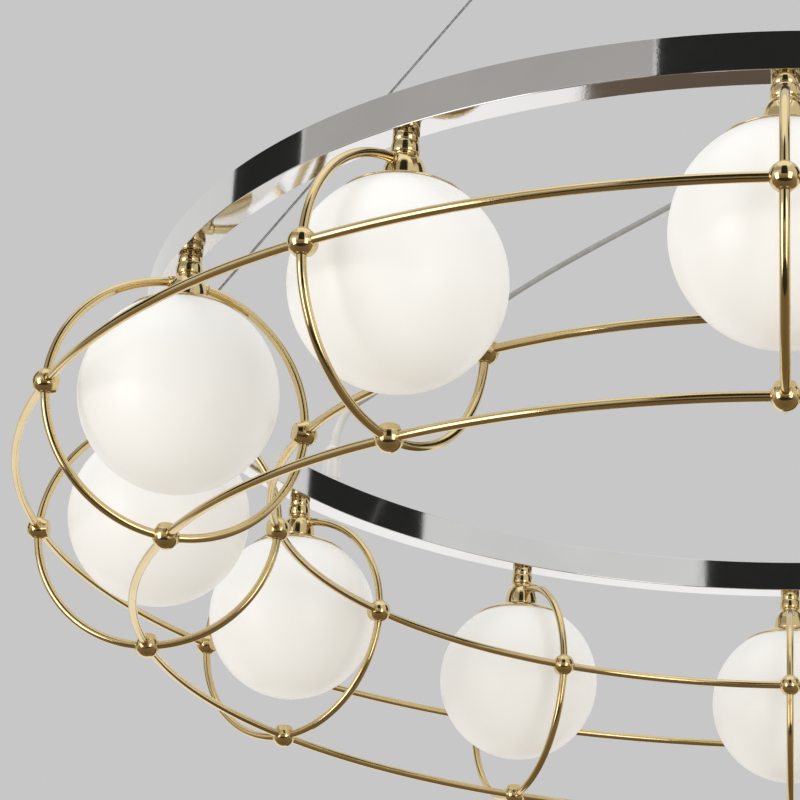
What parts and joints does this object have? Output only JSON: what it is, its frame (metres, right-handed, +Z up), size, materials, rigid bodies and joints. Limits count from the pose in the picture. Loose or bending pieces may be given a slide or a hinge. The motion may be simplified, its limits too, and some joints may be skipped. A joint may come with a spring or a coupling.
{
  "type": "chandelier",
  "caption": "Orb chandelier: opal glass globes in brass rod hoops hang from a chrome ring, joined by rod rails with ball joints, on steel cables from a ceiling canopy.",
  "frame": {"origin": "on the chandelier's vertical axis at the ceiling face of the bracket", "axes": "+Z up, the front lamp towards -Y, +X to the right seen from the front"},
  "size_m": [1.255, 1.255, 1.018],
  "materials": {
    "opal_glass": "opal, glossy",
    "polished_brass": "polished",
    "polished_chrome": "polished",
    "plated_steel": "plated",
    "wire_rope": "twisted strands",
    "lamp_holder_ceramic": "glazed",
    "capsule_glass": "frosted",
    "wire_insulation": "matte",
    "terminal_plastic": "matte",
    "grommet_rubber": "matte",
    "grey_cord": "satin"
  },
  "bodies": {
    "ceiling_mount": {"ceiling_bracket": "plated_steel", "canopy": "polished_chrome", "canopy_screws": "plated_steel", "canopy_grommet": "grommet_rubber", "ceiling_terminal_block": "terminal_plastic"},
    "swivel": {"swivel_cross": "plated_steel"},
    "chandelier": {"bottom_ball_joints": "polished_brass", "bottom_rail": "polished_brass", "bulbs": "capsule_glass", "cable_ferrules": "plated_steel", "cable_hub": "plated_steel", "cable_pins": "plated_steel", "cable_studs": "polished_chrome", "cover_blocks": "plated_steel", "cover_screws": "plated_steel", "gallery_caps": "polished_brass", "gland_body": "polished_chrome", "gland_cap": "polished_chrome", "gland_nut": "plated_steel", "hanger_blocks": "plated_steel", "hoop_01": "polished_brass", "hoop_02": "polished_brass", "hoop_03": "polished_brass", "hoop_04": "polished_brass", "hoop_05": "polished_brass", "hoop_06": "polished_brass", "hoop_07": "polished_brass", "hoop_08": "polished_brass", "hoop_09": "polished_brass", "hoop_10": "polished_brass", "hoop_11": "polished_brass", "hoop_12": "polished_brass", "inner_ball_joints": "polished_brass", "inner_rail": "polished_brass", "lamp_holders": "lamp_holder_ceramic", "lamp_sockets": "polished_brass", "outer_ball_joints": "polished_brass", "outer_rail": "polished_brass", "power_cord": "grey_cord", "ring_channel": "polished_chrome", "ring_cover": "polished_chrome", "ring_terminal_block": "terminal_plastic", "socket_nuts": "plated_steel", "suspension_cable_1": "wire_rope", "suspension_cable_2": "wire_rope", "suspension_cable_3": "wire_rope", "wiring_harness": "wire_insulation"},
    "shade_01": {"globe_01": "opal_glass"},
    "shade_02": {"globe_02": "opal_glass"},
    "shade_03": {"globe_03": "opal_glass"},
    "shade_04": {"globe_04": "opal_glass"},
    "shade_05": {"globe_05": "opal_glass"},
    "shade_06": {"globe_06": "opal_glass"},
    "shade_07": {"globe_07": "opal_glass"},
    "shade_08": {"globe_08": "opal_glass"},
    "shade_09": {"globe_09": "opal_glass"},
    "shade_10": {"globe_10": "opal_glass"},
    "shade_11": {"globe_11": "opal_glass"},
    "shade_12": {"globe_12": "opal_glass"}
  },
  "joints": [
    {"name": "sway_fore_aft", "type": "hinge", "parent": "ceiling_mount", "child": "swivel", "pos_m": [0, 0, -0.03], "axis": [1, 0, 0], "range_deg": [-5, 5]},
    {"name": "sway_sideways", "type": "hinge", "parent": "swivel", "child": "chandelier", "pos_m": [0, 0, -0.03], "axis": [0, 1, 0], "range_deg": [-5, 5]},
    {"name": "unscrew_globe_01", "type": "hinge", "parent": "chandelier", "child": "shade_01", "pos_m": [0, -0.5165, -0.8957], "axis": [0, 0, 1], "range_deg": [0, 540]},
    {"name": "unscrew_globe_02", "type": "hinge", "parent": "chandelier", "child": "shade_02", "pos_m": [-0.25825, -0.4473, -0.8957], "axis": [0, 0, 1], "range_deg": [0, 540]},
    {"name": "unscrew_globe_03", "type": "hinge", "parent": "chandelier", "child": "shade_03", "pos_m": [-0.4473, -0.25825, -0.8957], "axis": [0, 0, 1], "range_deg": [0, 540]},
    {"name": "unscrew_globe_04", "type": "hinge", "parent": "chandelier", "child": "shade_04", "pos_m": [-0.5165, 0, -0.8957], "axis": [0, 0, 1], "range_deg": [0, 540]},
    {"name": "unscrew_globe_05", "type": "hinge", "parent": "chandelier", "child": "shade_05", "pos_m": [-0.4473, 0.25825, -0.8957], "axis": [0, 0, 1], "range_deg": [0, 540]},
    {"name": "unscrew_globe_06", "type": "hinge", "parent": "chandelier", "child": "shade_06", "pos_m": [-0.25825, 0.4473, -0.8957], "axis": [0, 0, 1], "range_deg": [0, 540]},
    {"name": "unscrew_globe_07", "type": "hinge", "parent": "chandelier", "child": "shade_07", "pos_m": [0, 0.5165, -0.8957], "axis": [0, 0, 1], "range_deg": [0, 540]},
    {"name": "unscrew_globe_08", "type": "hinge", "parent": "chandelier", "child": "shade_08", "pos_m": [0.25825, 0.4473, -0.8957], "axis": [0, 0, 1], "range_deg": [0, 540]},
    {"name": "unscrew_globe_09", "type": "hinge", "parent": "chandelier", "child": "shade_09", "pos_m": [0.4473, 0.25825, -0.8957], "axis": [0, 0, 1], "range_deg": [0, 540]},
    {"name": "unscrew_globe_10", "type": "hinge", "parent": "chandelier", "child": "shade_10", "pos_m": [0.5165, 0, -0.8957], "axis": [0, 0, 1], "range_deg": [0, 540]},
    {"name": "unscrew_globe_11", "type": "hinge", "parent": "chandelier", "child": "shade_11", "pos_m": [0.4473, -0.25825, -0.8957], "axis": [0, 0, 1], "range_deg": [0, 540]},
    {"name": "unscrew_globe_12", "type": "hinge", "parent": "chandelier", "child": "shade_12", "pos_m": [0.25825, -0.4473, -0.8957], "axis": [0, 0, 1], "range_deg": [0, 540]}
  ]
}
